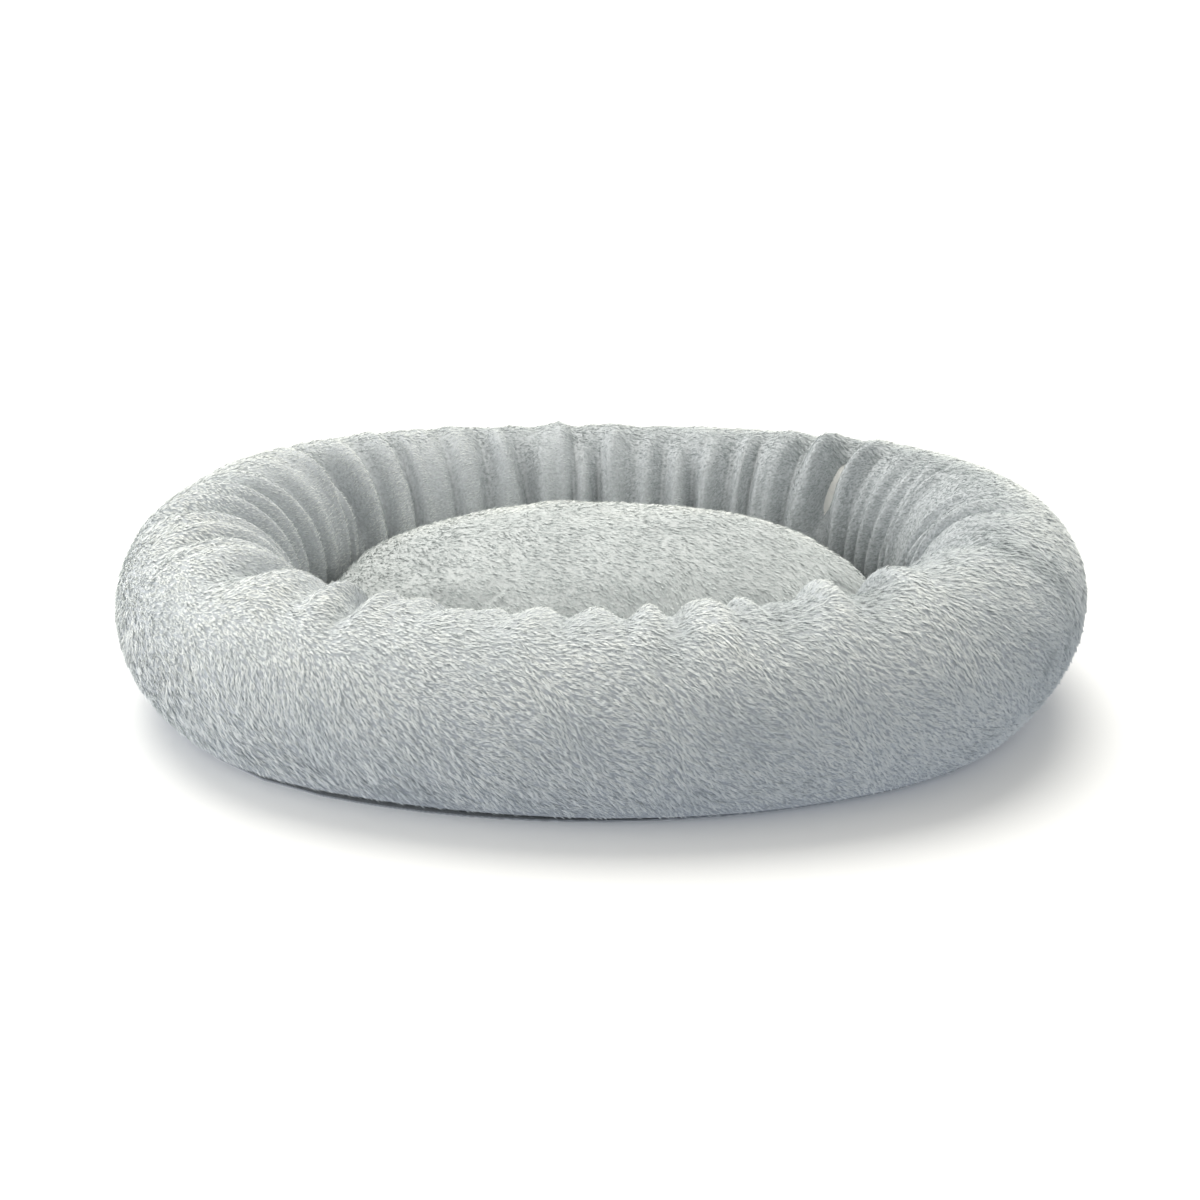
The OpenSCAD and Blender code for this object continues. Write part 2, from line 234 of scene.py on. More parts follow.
class Plan:
    """The oval's arcs, and where a point lies on them"""

    def __init__(self):
        sizes = bpy.context.scene.bed_plan
        self.tube = sizes.tube
        self.height = sizes.tube - sizes.flat
        self.floor = sizes.base_top
        self.half_l = sizes.length / 2 - sizes.tube
        self.half_w = sizes.width / 2 - sizes.tube
        self.end_r = self.half_w - sizes.tuck
        self.end_c = self.half_l - self.end_r
        self.side_r = (self.end_c ** 2 + self.half_w ** 2 - self.end_r ** 2) / (
            2 * (self.half_w - self.end_r))
        self.side_c = self.side_r - self.half_w
        self.side_half = math.atan2(self.end_c, self.side_c)
        self.end_half = math.pi / 2 - self.side_half
        # the arcs anticlockwise from the right end: centre, radius and whole angle
        end, side = 2 * self.end_half, 2 * self.side_half
        self.arcs = [
            (Vector((self.end_c, 0, 0)), self.end_r, end),
            (Vector((0, -self.side_c, 0)), self.side_r, side),
            (Vector((-self.end_c, 0, 0)), self.end_r, end),
            (Vector((0, self.side_c, 0)), self.side_r, side)]
        turns = np.cumsum([0] + [angle for _, _, angle in self.arcs])
        runs = np.cumsum([0] + [radius * angle for _, radius, angle in self.arcs])
        self.turns, self.runs, self.girth = turns - self.end_half, runs, runs[-1]

    def along(self, turn):
        """Length along the tube's middle line at a normal's angle"""
        turn = (turn + self.end_half) % (2 * math.pi) - self.end_half
        return np.interp(turn, self.turns, self.runs)

    def turn_at(self, run):
        """The normal's angle at a length along the middle line"""
        return np.interp(np.mod(run, self.girth), self.runs, self.turns)

    def place(self, points):
        """Each point's normal angle, and how far out from the middle line it is"""
        x, y = points[:, 0], points[:, 1]
        side = np.arctan2(np.abs(x), np.abs(y) + self.side_c) < self.side_half
        dx = np.where(side, x, x - np.sign(x) * self.end_c)
        dy = np.where(side, y + np.sign(y) * self.side_c, y)
        reach = np.hypot(dx, dy)
        return np.arctan2(dy, dx), reach - np.where(side, self.side_r, self.end_r)

    def middle(self, turn):
        """Points of the tube's middle line at these normal angles"""
        c, s = np.cos(turn), np.sin(turn)
        side = np.arctan2(np.abs(c), np.abs(s)) < self.side_half
        x = np.where(side, self.side_r * c, self.end_r * c + np.sign(c) * self.end_c)
        y = np.where(side, self.side_r * s - np.sign(s) * self.side_c, self.end_r * s)
        return x, y

    def points(self, turn, out, z):
        """Points at a normal angle, a distance out from the middle line, and a height"""
        x, y = self.middle(turn)
        return np.column_stack([x + out * np.cos(turn), y + out * np.sin(turn), z])


# ---- mesh helpers

def coordinates(mesh):
    points = np.zeros(len(mesh.vertices) * 3, np.float32)
    mesh.vertices.foreach_get("co", points)
    return points.reshape(-1, 3).astype(float)


def move_points(mesh, points):
    mesh.vertices.foreach_set("co", points.astype(np.float32).ravel())
    mesh.update()


def new_piece(bm, name):
    """Makes the bmesh an object at the origin, smooth shaded"""
    mesh = bpy.data.meshes.new(name)
    bm.to_mesh(mesh)
    bm.free()
    mesh.shade_smooth()
    piece = bpy.data.objects.new(name, mesh)
    bpy.context.scene.collection.objects.link(piece)
    return piece


def smooth_step(x, low, high):
    t = np.clip((x - low) / (high - low), 0, 1)
    return t * t * (3 - 2 * t)


def spun_tube(plan, radius, around, spacing):
    """A round section spun along the four arcs of the plan, each about its own centre"""
    bm = bmesh.new()
    bmesh.ops.create_circle(bm, segments=around, radius=radius)
    stand = (
        Matrix.Translation(plan.arcs[0][0])
        @ Matrix.Rotation(-plan.end_half, 4, "Z")
        @ Matrix.Translation((plan.end_r, 0, plan.height))
        @ Matrix.Rotation(math.pi / 2, 4, "X"))
    bmesh.ops.transform(bm, matrix=stand, verts=bm.verts)
    geom = bm.verts[:] + bm.edges[:]
    for centre, arc_radius, angle in plan.arcs:
        steps = round(arc_radius * angle / spacing)
        geom = bmesh.ops.spin(
            bm, geom=geom, cent=centre, axis=(0, 0, 1), angle=angle,
            steps=steps)["geom_last"]
    bmesh.ops.remove_doubles(bm, verts=bm.verts, dist=1e-5)
    bmesh.ops.recalc_face_normals(bm, faces=bm.faces)
    return bm


class Ripple:
    """Smooth seeded noise in space: a few plane waves of like length"""

    def __init__(self, seed, length, waves=9):
        pick = np.random.default_rng(seed)
        axes = pick.normal(size=(waves, 3))
        axes /= np.linalg.norm(axes, axis=1)[:, None]
        self.axes = axes * 2 * math.pi / (length * pick.uniform(0.7, 1.5, (waves, 1)))
        self.starts = pick.uniform(0, 2 * math.pi, waves)

    def at(self, points):
        """About -1 to 1 at each point"""
        return np.sin(points @ self.axes.T + self.starts).sum(1) / math.sqrt(
            2 * len(self.starts))


def swell(piece, pressure, frames, cap, pinned, bending=0.5):
    """Blows a closed piece up as cloth, and applies the result. The pinned points are
    held, and cap is the furthest that a point may move"""
    start = coordinates(piece.data)
    group = piece.vertex_groups.new(name="Held")
    group.add(np.flatnonzero(pinned).tolist(), 1, "REPLACE")
    cloth = piece.modifiers.new("Cloth", "CLOTH")
    settings = cloth.settings
    settings.quality = 6
    settings.mass = 0.3
    settings.tension_stiffness = settings.compression_stiffness = 15
    settings.shear_stiffness = 5
    settings.bending_stiffness = bending
    settings.tension_damping = settings.compression_damping = 10
    settings.air_damping = 2
    settings.use_pressure = True
    settings.uniform_pressure_force = pressure
    settings.effector_weights.gravity = 0
    settings.vertex_group_mass = "Held"
    cloth.point_cache.frame_start, cloth.point_cache.frame_end = 1, frames
    scene = bpy.context.scene
    for step in range(1, frames + 1):
        scene.frame_set(step)
    shaped = piece.evaluated_get(bpy.context.evaluated_depsgraph_get())
    swollen = coordinates(shaped.data)
    piece.modifiers.remove(cloth)
    piece.vertex_groups.clear()
    scene.frame_set(1)
    move = swollen - start
    far = np.linalg.norm(move, axis=1)
    move *= np.minimum(1, cap / np.maximum(far, 1e-9))[:, None]
    move_points(piece.data, start + move)


# ---- the ring's shape

def slumped(plan, points):
    """Moves points of a true tube to where the stuffed ring has settled, leaning out at
    the right end. Near the zip they keep their place on the frame"""
    size = bpy.context.scene.bed_slump
    turn, out = plan.place(points)
    x, y = plan.middle(turn)
    a = np.arctan2(y / plan.half_w, x / plan.half_l)
    rise = (1 + size.rise + size.rise_right * np.cos(a) + size.rise_back * np.sin(a)
            + size.rise_ends * np.cos(2 * a) + size.rise_corners * np.sin(2 * a))
    slim = (1 - size.slim - size.slim_right * np.cos(a) + size.slim_front * np.sin(a))
    drift = size.drift * np.cos(3 * a)
    free = 1 - near_zip(plan, points, 0.03, 0.08)
    z = points[:, 2] * (1 + (rise - 1) * free)
    out = out * (1 + (slim - 1) * free) + drift * free
    foot = (1 - z / size.foot_height).clip(0, 1) ** 2 * smooth_step(out, 0, 0.04)
    lean = size.lean * smooth_step(np.cos(a), 0.1, 0.9) * smooth_step(z, 0.02, 0.15)
    return plan.points(turn, out + size.foot * foot + lean * free, z)


def near_zip(plan, points, near, far):
    """1 on the ring's zip, falling to 0 between two distances from it"""
    turn, out = plan.place(points)
    drop = math.radians(25)
    ahead = np.abs(plan.along(turn) - plan.along(math.pi / 2))
    off_end = np.maximum(ahead - 0.2, 0) * np.where(np.sin(turn) > 0, 1, 100)
    up = points[:, 2] - (plan.height - plan.tube * math.sin(drop))
    across = out - plan.tube * math.cos(drop)
    return 1 - smooth_step(np.sqrt(off_end ** 2 + up ** 2 + across ** 2), near, far)


def folds_round(plan, seed=5):
    """The gathers of the inner wall: for each, where it starts along the middle line,
    its width, its depth, how far over the tube it runs (1 at the outer waist), its lean"""
    pick = np.random.default_rng(seed)
    folds, run = [], 0.0
    while run < plan.girth:
        turn = math.degrees(float(plan.turn_at(run))) % 360
        if 150 <= turn < 205:      # the left end: few, wide and deep
            gap, width, depth, reach = 0.050, 0.011, 0.014, 0.95
        elif 95 <= turn < 150:     # back left
            gap, width, depth, reach = 0.036, 0.0085, 0.011, 0.72
        elif 50 <= turn < 95:      # the back wall: upright pleats
            gap, width, depth, reach = 0.031, 0.007, 0.0115, 0.66
        elif turn < 50 or turn > 335:  # the right end: many narrow ones
            gap, width, depth, reach = 0.030, 0.0068, 0.0085, 0.66
        else:                      # the front: soft scallops along the rim
            gap, width, depth, reach = 0.043, 0.0095, 0.0105, 0.80
        wide = pick.uniform(0.6, 1.5)
        folds.append((run, width * wide, depth * pick.uniform(0.6, 1.3),
                      reach * pick.uniform(0.8, 1.15), pick.uniform(-0.05, 0.05)))
        run += gap * pick.uniform(0.65, 1.35)
    return folds


def gathered(plan, points):
    """Presses the gathers into the inner wall and over the rim: the points, and how
    deep each was pressed"""
    turn, out = plan.place(points)
    over = np.arctan2(points[:, 2] - plan.height, -out)   # 0 at the inner waist
    over = np.where(over < -math.pi / 2 - 0.4, over + 2 * math.pi, over) / math.pi
    run = plan.along(turn)
    deep = np.zeros(len(points))
    for start, width, depth, reach, lean in folds_round(plan):
        away = run - start - lean * (over + 0.3)
        away = (away + plan.girth / 2) % plan.girth - plan.girth / 2
        near = np.abs(away) < 4 * width
        fade = 1 - smooth_step(over[near], reach * 0.45, reach)
        spread = width * (1 + 0.8 * np.maximum(over[near], 0))
        deep[near] += depth * fade * (
            np.exp(-(away[near] / spread) ** 2) - 0.35 * np.exp(
                -((np.abs(away[near]) - 1.9 * spread) / spread) ** 2))
    deep *= smooth_step(over, -0.45, -0.25)
    centre = plan.points(turn, np.zeros(len(turn)), np.full(len(turn), plan.height))
    inward = centre - points
    inward /= np.maximum(np.linalg.norm(inward, axis=1), 1e-9)[:, None]
    return points + inward * deep[:, None], deep


# ---- the plush pile: locks of hair, set out over a cloth by its own attributes

def lock_of_hair(name, seed, hairs, style):
    """A few flat tapering hairs that rise, bend over along +X and draw together"""
    pick = np.random.default_rng(seed)
    bm = bmesh.new()
    along = bm.verts.layers.float.new("along")
    for _ in range(hairs):
        hair = bmesh.ops.create_grid(bm, x_segments=1, y_segments=2, size=0.5)["verts"]
        length = style.length * pick.uniform(0.75, 1.15)
        wide = style.hair_width * pick.uniform(0.75, 1.25)
        lift = style.lift * pick.uniform(0.6, 1.3)
        root = Vector((*pick.uniform(-0.5, 0.5, 2) * style.lock_width, 0))
        roll = Matrix.Rotation(pick.uniform(-0.45, 0.45), 3, "X")
        veer = Matrix.Rotation(pick.uniform(-0.35, 0.35), 3, "Z")
        for vert in hair:
            t = vert.co.y + 0.5
            side = vert.co.x * wide * (0.85 + 0.6 * t if t < 0.9 else 0)
            spine = Vector((
                length * (0.92 * t - 0.06 * math.sin(math.pi * t)), 0,
                length * lift * (1.15 * math.sin(1.9 * t))))
            vert.co = root * (1 - 0.5 * t) + veer @ (
                spine + roll @ Vector((0, side, 0))) - Vector((0, 0, 0.0006))
            vert[along] = t
    bmesh.ops.remove_doubles(bm, verts=bm.verts, dist=1e-6)
    mesh = bpy.data.meshes.new(name)
    bm.to_mesh(mesh)
    bm.free()
    mesh.shade_smooth()
    return bpy.data.objects.new(name, mesh)


def link(tree, source, output, target, input_name):
    tree.links.new(source.outputs[output], target.inputs[input_name])


def pile_tree(locks, spacing, tousle):
    """The nodes that set locks of hair on the faces of one part of a cloth. They read
    its attributes: lay, the way the hair lies; fullness and length; and its shade,
    random tone with painted shade and painted light in it"""
    tree = bpy.data.node_groups.new("Pile", "GeometryNodeTree")
    tree.interface.new_socket("Geometry", in_out="INPUT", socket_type="NodeSocketGeometry")
    tree.interface.new_socket("Part", in_out="INPUT", socket_type="NodeSocketInt")
    tree.interface.new_socket("Geometry", in_out="OUTPUT", socket_type="NodeSocketGeometry")
    add = tree.nodes.new

    def read(name, kind="FLOAT"):
        node = add("GeometryNodeInputNamedAttribute")
        node.data_type = kind
        node.inputs["Name"].default_value = name
        return node

    def spread(low, high, seed, kind="FLOAT"):
        node = add("FunctionNodeRandomValue")
        node.data_type = kind
        sockets = (0, 1) if kind == "FLOAT_VECTOR" else (2, 3)
        node.inputs[sockets[0]].default_value = low
        node.inputs[sockets[1]].default_value = high
        node.inputs["Seed"].default_value = seed
        return node

    def maths(operation, a, b):
        node = add("ShaderNodeMath")
        node.operation = operation
        for socket, value in zip(node.inputs, (a, b)):
            if isinstance(value, (int, float)):
                socket.default_value = value
            else:
                tree.links.new(value, socket)
        return node.outputs[0]

    cloth = add("NodeGroupInput")
    here = add("FunctionNodeCompare")
    here.data_type, here.operation = "INT", "EQUAL"
    tree.links.new(read("part", "INT").outputs[0], here.inputs[2])
    link(tree, cloth, "Part", here, 3)
    scatter = add("GeometryNodeDistributePointsOnFaces")
    scatter.distribute_method = "POISSON"
    scatter.inputs["Distance Min"].default_value = spacing
    scatter.inputs["Density Max"].default_value = 1.6 / spacing ** 2
    link(tree, cloth, "Geometry", scatter, "Mesh")
    link(tree, here, 0, scatter, "Selection")
    link(tree, read("fullness"), 0, scatter, "Density Factor")
    aim = add("FunctionNodeAlignRotationToVector")
    aim.axis, aim.pivot_axis = "X", "Z"
    link(tree, scatter, "Rotation", aim, "Rotation")
    link(tree, read("lay", "FLOAT_VECTOR"), 0, aim, "Vector")
    stray = add("FunctionNodeEulerToRotation")
    link(tree, spread((-0.3, -0.25, -tousle), (0.3, 0.25, tousle), 1, "FLOAT_VECTOR"), 0,
         stray, 0)
    turn = add("FunctionNodeRotateRotation")
    turn.rotation_space = "LOCAL"
    link(tree, aim, 0, turn, 0)
    link(tree, stray, 0, turn, 1)
    kinds = add("GeometryNodeCollectionInfo")
    kinds.inputs["Collection"].default_value = locks
    kinds.inputs["Separate Children"].default_value = True
    kinds.inputs["Reset Children"].default_value = True
    place = add("GeometryNodeInstanceOnPoints")
    place.inputs["Pick Instance"].default_value = True
    link(tree, scatter, "Points", place, "Points")
    link(tree, kinds, 0, place, "Instance")
    link(tree, turn, 0, place, "Rotation")
    tree.links.new(maths("MULTIPLY", read("length").outputs[0],
                         spread(0.75, 1.2, 2).outputs[1]), place.inputs["Scale"])
    shade = add("GeometryNodeStoreNamedAttribute")
    shade.domain = "INSTANCE"
    shade.inputs["Name"].default_value = "shade"
    link(tree, place, 0, shade, "Geometry")
    tree.links.new(maths("ADD", read("shade").outputs[0],
                         spread(-0.08, 0.08, 3).outputs[1]), shade.inputs["Value"])
    real = add("GeometryNodeRealizeInstances")
    link(tree, shade, 0, real, 0)
    across = add("ShaderNodeCombineXYZ")
    link(tree, read("shade"), 0, across, "X")
    link(tree, read("along"), 0, across, "Y")
    chart = add("GeometryNodeStoreNamedAttribute")
    chart.data_type, chart.domain = "FLOAT2", "CORNER"
    chart.inputs["Name"].default_value = PILE_MAP
    link(tree, real, 0, chart, "Geometry")
    link(tree, across, 0, chart, "Value")
    out = add("NodeGroupOutput")
    link(tree, chart, 0, out, 0)
    return tree


def dress(skin, lay, fullness, length, shade, part):
    """Writes on the cloth's points and faces what the pile reads"""
    mesh = skin.data
    for name, kind, values in (
            ("lay", "FLOAT_VECTOR", lay), ("fullness", "FLOAT", fullness),
            ("length", "FLOAT", length), ("shade", "FLOAT", shade)):
        field = "vector" if kind == "FLOAT_VECTOR" else "value"
        mesh.attributes.new(name, kind, "POINT").data.foreach_set(
            field, values.astype(np.float32).ravel())
    mesh.attributes.new("part", "INT", "FACE").data.foreach_set(
        "value", part.astype(np.int32))


def grow_pile(skin, names, tree, material):
    """One piece of pile for each part of the cloth"""
    for part, name in enumerate(names):
        piece = bpy.data.objects.new(name, skin.data)
        bpy.context.scene.collection.objects.link(piece)
        growth = piece.modifiers.new("Pile", "NODES")
        growth.node_group = tree
        growth["Socket_1"] = part
        grown = piece.evaluated_get(bpy.context.evaluated_depsgraph_get())
        mesh = bpy.data.meshes.new_from_object(grown)
        piece.modifiers.clear()
        piece.data = mesh
        mesh.name = name
        mesh.materials.clear()
        mesh.materials.append(material)
        for spare in ("along", "shade", "lay", "length", "fullness", "part"):
            if spare in mesh.attributes:
                mesh.attributes.remove(mesh.attributes[spare])
        yield piece


# ---- finishes

def finish_named(name):
    """A new material of nodes: its tree, its shader"""
    material = bpy.data.materials.new(name)
    material.use_nodes = True
    return material, material.node_tree, material.node_tree.nodes["Principled BSDF"]


def ramp_of(tree, stops):
    """A colour ramp with these stops: place and colour"""
    node = tree.nodes.new("ShaderNodeValToRGB")
    elements = node.color_ramp.elements
    while len(elements) < len(stops):
        elements.new(0.5)
    for element, (place, colour) in zip(elements, stops):
        element.position, element.color = place, (*colour, 1)
    return node


def ramped(tree, value, stops):
    """The colour that a ramp of these stops gives a value"""
    ramp = ramp_of(tree, stops)
    tree.links.new(value, ramp.inputs[0])
    return ramp.outputs[0]


def noise_over(tree, scale, detail):
    """Noise over the piece's own coordinates"""
    place = tree.nodes.new("ShaderNodeTexCoord")
    noise = tree.nodes.new("ShaderNodeTexNoise")
    noise.inputs["Scale"].default_value = scale
    noise.inputs["Detail"].default_value = detail
    tree.links.new(place.outputs["Object"], noise.inputs["Vector"])
    return noise.outputs[0]


def product(tree, first, second, clamp=False):
    """Two colours multiplied"""
    both = tree.nodes.new("ShaderNodeMix")
    both.data_type, both.blend_type, both.clamp_result = "RGBA", "MULTIPLY", clamp
    both.inputs["Factor"].default_value = 1
    tree.links.new(first, both.inputs["A"])
    tree.links.new(second, both.inputs["B"])
    return both.outputs["Result"]


def raise_by(tree, shader, height, distance, strength=1.0):
    """Raises the shader's surface by a height"""
    bump = tree.nodes.new("ShaderNodeBump")
    bump.inputs["Distance"].default_value = distance
    bump.inputs["Strength"].default_value = strength
    tree.links.new(height, bump.inputs["Height"])
    tree.links.new(bump.outputs[0], shader.inputs["Normal"])


def pile_finish(name, root, tip):
    """Plush pile: dark at the root, pale at the tip, in locks of different shade, and
    darker or lighter where painted shade or painted light is in the cloth's shade. Both
    come from the map that each hair carries: shade across, root to tip up"""
    material, tree, shader = finish_named(name)
    chart = tree.nodes.new("ShaderNodeUVMap")
    chart.uv_map = PILE_MAP
    split = tree.nodes.new("ShaderNodeSeparateXYZ")
    tree.links.new(chart.outputs[0], split.inputs[0])
    middle = [0.35 * r + 0.65 * t for r, t in zip(root, tip)]
    up = ramped(tree, split.outputs["Y"], ((0.0, root), (0.45, middle), (1.0, tip)))
    # shade across: random tone of the locks, with the painted shade and painted light that the
    # ring and cushion write into it
    across = ramped(tree, split.outputs["X"], (
        (0.0, (0.42, 0.46, 0.47)), (0.35, (0.76, 0.79, 0.80)), (0.65, (0.97, 0.98, 0.97)),
        (1.0, (1.0, 1.0, 0.97))))
    tree.links.new(product(tree, up, across, clamp=True), shader.inputs["Base Color"])
    shader.inputs["Roughness"].default_value = 0.75
    shader.inputs["Sheen Weight"].default_value = 0.25
    shader.inputs["Sheen Roughness"].default_value = 0.5
    return material


def backing_finish(name, colour):
    """The knitted backing under the pile, mottled by the hair that covers it"""
    material, tree, shader = finish_named(name)
    noise = noise_over(tree, 350, 4)
    shades = ramped(tree, noise, ((0.3, [0.7 * c for c in colour]), (0.7, colour)))
    tree.links.new(shades, shader.inputs["Base Color"])
    raise_by(tree, shader, noise, 0.001, 0.6)
    shader.inputs["Roughness"].default_value = 0.9
    return material


def woven_finish(name, colour, pitch, depth, rough=0.85):
    """Plain weave: warp and weft ridges at a pitch, darker where the threads dip as painted
    shade, with slubs
    """
    material, tree, shader = finish_named(name)
    place = tree.nodes.new("ShaderNodeTexCoord")
    ridges = []
    for direction in ("X", "Y"):
        wave = tree.nodes.new("ShaderNodeTexWave")
        wave.wave_type, wave.bands_direction = "BANDS", direction
        wave.inputs["Scale"].default_value = 1 / pitch / 3.2
        wave.inputs["Distortion"].default_value = 0.6
        wave.inputs["Detail Scale"].default_value = 2
        tree.links.new(place.outputs["Object"], wave.inputs["Vector"])
        ridges.append(wave)
    weave = tree.nodes.new("ShaderNodeMath")
    weave.operation = "MAXIMUM"
    for socket, wave in zip(weave.inputs, ridges):
        tree.links.new(wave.outputs["Fac"], socket)
    # the threads darker where they dip, by depth: painted shade between them
    shades = ramped(tree, weave.outputs[0], (
        (0.2, [(1 - depth) * c for c in colour]), (0.9, colour)))
    slubs = ramped(tree, noise_over(tree, 60, 5), (
        (0.35, (0.86, 0.86, 0.86)), (0.65, (1, 1, 1))))
    tree.links.new(product(tree, shades, slubs), shader.inputs["Base Color"])
    raise_by(tree, shader, weave.outputs[0], 0.3 * pitch)
    shader.inputs["Roughness"].default_value = rough
    shader.inputs["Sheen Weight"].default_value = 0.15
    return material


def speckled_finish(name, low, high, scale, rough, metallic=0.0, bump_depth=0.0001):
    """A finish that wanders between two colours, rougher where it is darker"""
    material, tree, shader = finish_named(name)
    noise = noise_over(tree, scale, 6)
    shades = ramped(tree, noise, ((0.3, low), (0.7, high)))
    tree.links.new(shades, shader.inputs["Base Color"])
    worn = tree.nodes.new("ShaderNodeMapRange")
    worn.inputs["To Min"].default_value = min(1, rough + 0.12)
    worn.inputs["To Max"].default_value = max(0, rough - 0.08)
    tree.links.new(noise, worn.inputs["Value"])
    tree.links.new(worn.outputs[0], shader.inputs["Roughness"])
    raise_by(tree, shader, noise, bump_depth, 0.5)
    shader.inputs["Metallic"].default_value = metallic
    return material


def fibre_finish(name, colour):
    """Loose polyester fibre"""
    return speckled_finish(name, [0.8 * c for c in colour], colour, 120, 0.9,
                           bump_depth=0.002)


def rubber_finish(name, colour):
    """Printed rubber, slightly chalky"""
    return speckled_finish(name, colour, [1.7 * c for c in colour], 900, 0.65)


def metal_finish(name, colour):
    """Tumbled nickel plate, rubbed brighter in places"""
    return speckled_finish(name, [0.75 * c for c in colour], colour, 500, 0.32,
                           metallic=1.0, bump_depth=0.00003)


def coil_finish(name, colour):
    """Nylon monofilament"""
    return speckled_finish(name, [0.85 * c for c in colour], colour, 700, 0.4,
                           bump_depth=0.00004)


def thread_finish(name, colour):
    """Twisted sewing thread"""
    return speckled_finish(name, [0.7 * c for c in colour], colour, 2500, 0.7)


def repaint(node, material):
    """Gives a frame node its finish"""
    mesh = frame["nodes"][node].data
    mesh.materials.clear()
    mesh.materials.append(material)


def lie_of(normals, way, droop, points, seed, swirl):
    """The way the hair lies: along a way, drooping down the cloth, and swirling"""
    down = np.zeros_like(normals)
    down[:, 2] = -1
    lay = way + droop * down
    lay -= normals * (lay * normals).sum(1)[:, None]
    lay /= np.maximum(np.linalg.norm(lay, axis=1), 1e-9)[:, None]
    turn = swirl * Ripple(seed, 0.10).at(points) + 0.5 * swirl * Ripple(
        seed + 1, 0.035).at(points)
    side = np.cross(normals, lay)
    return lay * np.cos(turn)[:, None] + side * np.sin(turn)[:, None]


def normals_of(mesh):
    normals = np.zeros(len(mesh.vertices) * 3, np.float32)
    mesh.vertex_normals.foreach_get("vector", normals)
    return normals.reshape(-1, 3).astype(float)


def face_centres(mesh):
    centres = np.zeros(len(mesh.polygons) * 3, np.float32)
    mesh.polygons.foreach_get("center", centres)
    return centres.reshape(-1, 3).astype(float)


def locks(name, style, kinds=4):
    """A collection of different locks, for the pile to pick from"""
    collection = bpy.data.collections.new(name)
    for k in range(kinds):
        collection.objects.link(lock_of_hair(f"{name}_{k}", 20 + k, style.hairs, style))
    return collection


def put_away(collection):
    """Removes the pattern locks once the pile has grown"""
    for lock in list(collection.objects):
        bpy.data.objects.remove(lock)
    bpy.data.collections.remove(collection)


# ---- the ring

class BED_OT_ring(bpy.types.Operator):
    """Makes the ring's plush cover, gathered on its inner wall and swollen by its filling"""
    bl_idname = "bed.ring"
    bl_label = "Ring"

    def execute(self, context):
        plan = Plan()
        skin = new_piece(spun_tube(plan, plan.tube - 0.0055, 120, 0.005), "ring_cloth")
        points = coordinates(skin.data)
        points[:, 2] = np.maximum(points[:, 2], plan.floor + 0.0005)
        points, deep = gathered(plan, points)
        move_points(skin.data, points)
        pinned = (points[:, 2] < 0.014) | (near_zip(plan, points, 0.015, 0.03) > 0.5)
        swell(skin, CLOTH_PRESSURE, CLOTH_FRAMES, CLOTH_CAP, pinned)
        points = coordinates(skin.data)
        points = slumped(plan, points)
        # above this height the cover is pressed down, so the pile stays in its box
        points[:, 2] = np.minimum(points[:, 2], 0.6 * points[:, 2] + 0.4 * PRESSED_ABOVE)
        move_points(skin.data, points)
        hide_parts("ring_cover")
        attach(skin, "ring")
        skin.data.materials.append(backing_finish("Ring backing", (0.55, 0.58, 0.60)))

        normals = normals_of(skin.data)
        turn, out = plan.place(points)
        way = np.tile([0.9, -0.15, 0.0], (len(points), 1))
        # the ruffled patch at the front right: it is only darkened below, partly for the darker
        # roots it shows and partly as painted shade of the parted pile
        ruffled_painted_shade = np.exp(-((turn + 0.62) / 0.28) ** 2) * smooth_step(
            points[:, 2], 0.03, 0.07) * smooth_step(out, -0.02, 0.05)
        droop = (0.5 + 0.2 * Ripple(3, 0.3).at(points)) * (
            2 * smooth_step(out, -0.05, 0.01) - 1)
        lay = lie_of(normals, way, droop[:, None], points, 11, 0.30)
        covered = smooth_step(points[:, 2], 0.004, 0.012) * (
            1 - near_zip(plan, points, 0.008, 0.011))
        inner_low = smooth_step(out, -0.045, -0.03) + smooth_step(points[:, 2], 0.035, 0.07)
        fullness = covered * (0.35 + 0.65 * np.clip(inner_low, 0, 1))
        length = (0.55 + 0.45 * smooth_step(points[:, 2], 0.005, 0.03)) * (
            1 - 0.55 * near_zip(plan, points, 0.012, 0.03)) * (
            1 - 0.50 * smooth_step(-out, -0.045, 0.05))
        # inside: the inner wall, where the shade below is darkened as painted shade
        inside = smooth_step(-out, -0.045, 0.045)
        # the shade of the locks: random tone, with painted shade and painted light added below
        shade = (0.60 + 0.10 * Ripple(7, 0.09).at(points) + 0.08 * Ripple(8, 0.018).at(points)
                 # the ruffled patch darker: partly its roots, partly painted shade
                 - 0.30 * ruffled_painted_shade * (0.6 + 0.7 * np.maximum(Ripple(9, 0.03).at(points), 0))
                 # painted shade on the inner side of the back wall
                 - 0.50 * inside * smooth_step(points[:, 1], -0.1, 0.2)
                 * smooth_step(points[:, 0], -0.30, 0.05)
                 # painted shade on the inner wall of the right end
                 - 0.60 * inside * smooth_step(points[:, 0], 0.05, 0.35)
                 # painted shade in the fold valleys, partly for the hair parted there
                 - np.clip(34 * deep, -0.12, 0.4)
                 # painted light: the left end's outer side lighter
                 + 0.12 * smooth_step(-points[:, 0], 0.15, 0.4) * (1 - inside))
        centres = face_centres(skin.data)
        run = plan.along(plan.place(centres)[0])
        part = np.clip(run / plan.girth * len(RING_PILE), 0, len(RING_PILE) - 1)
        dress(skin, lay, fullness, length, shade, part)
        style = context.scene.ring_pile
        kinds = locks("ring_lock", style)
        tree = pile_tree(kinds, style.spacing, style.tousle)
        finish = pile_finish("Ring pile", style.root, style.tip)
        for piece in grow_pile(skin, RING_PILE, tree, finish):
            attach(piece, "ring")
        put_away(kinds)
        return {"FINISHED"}


# ---- the cushion

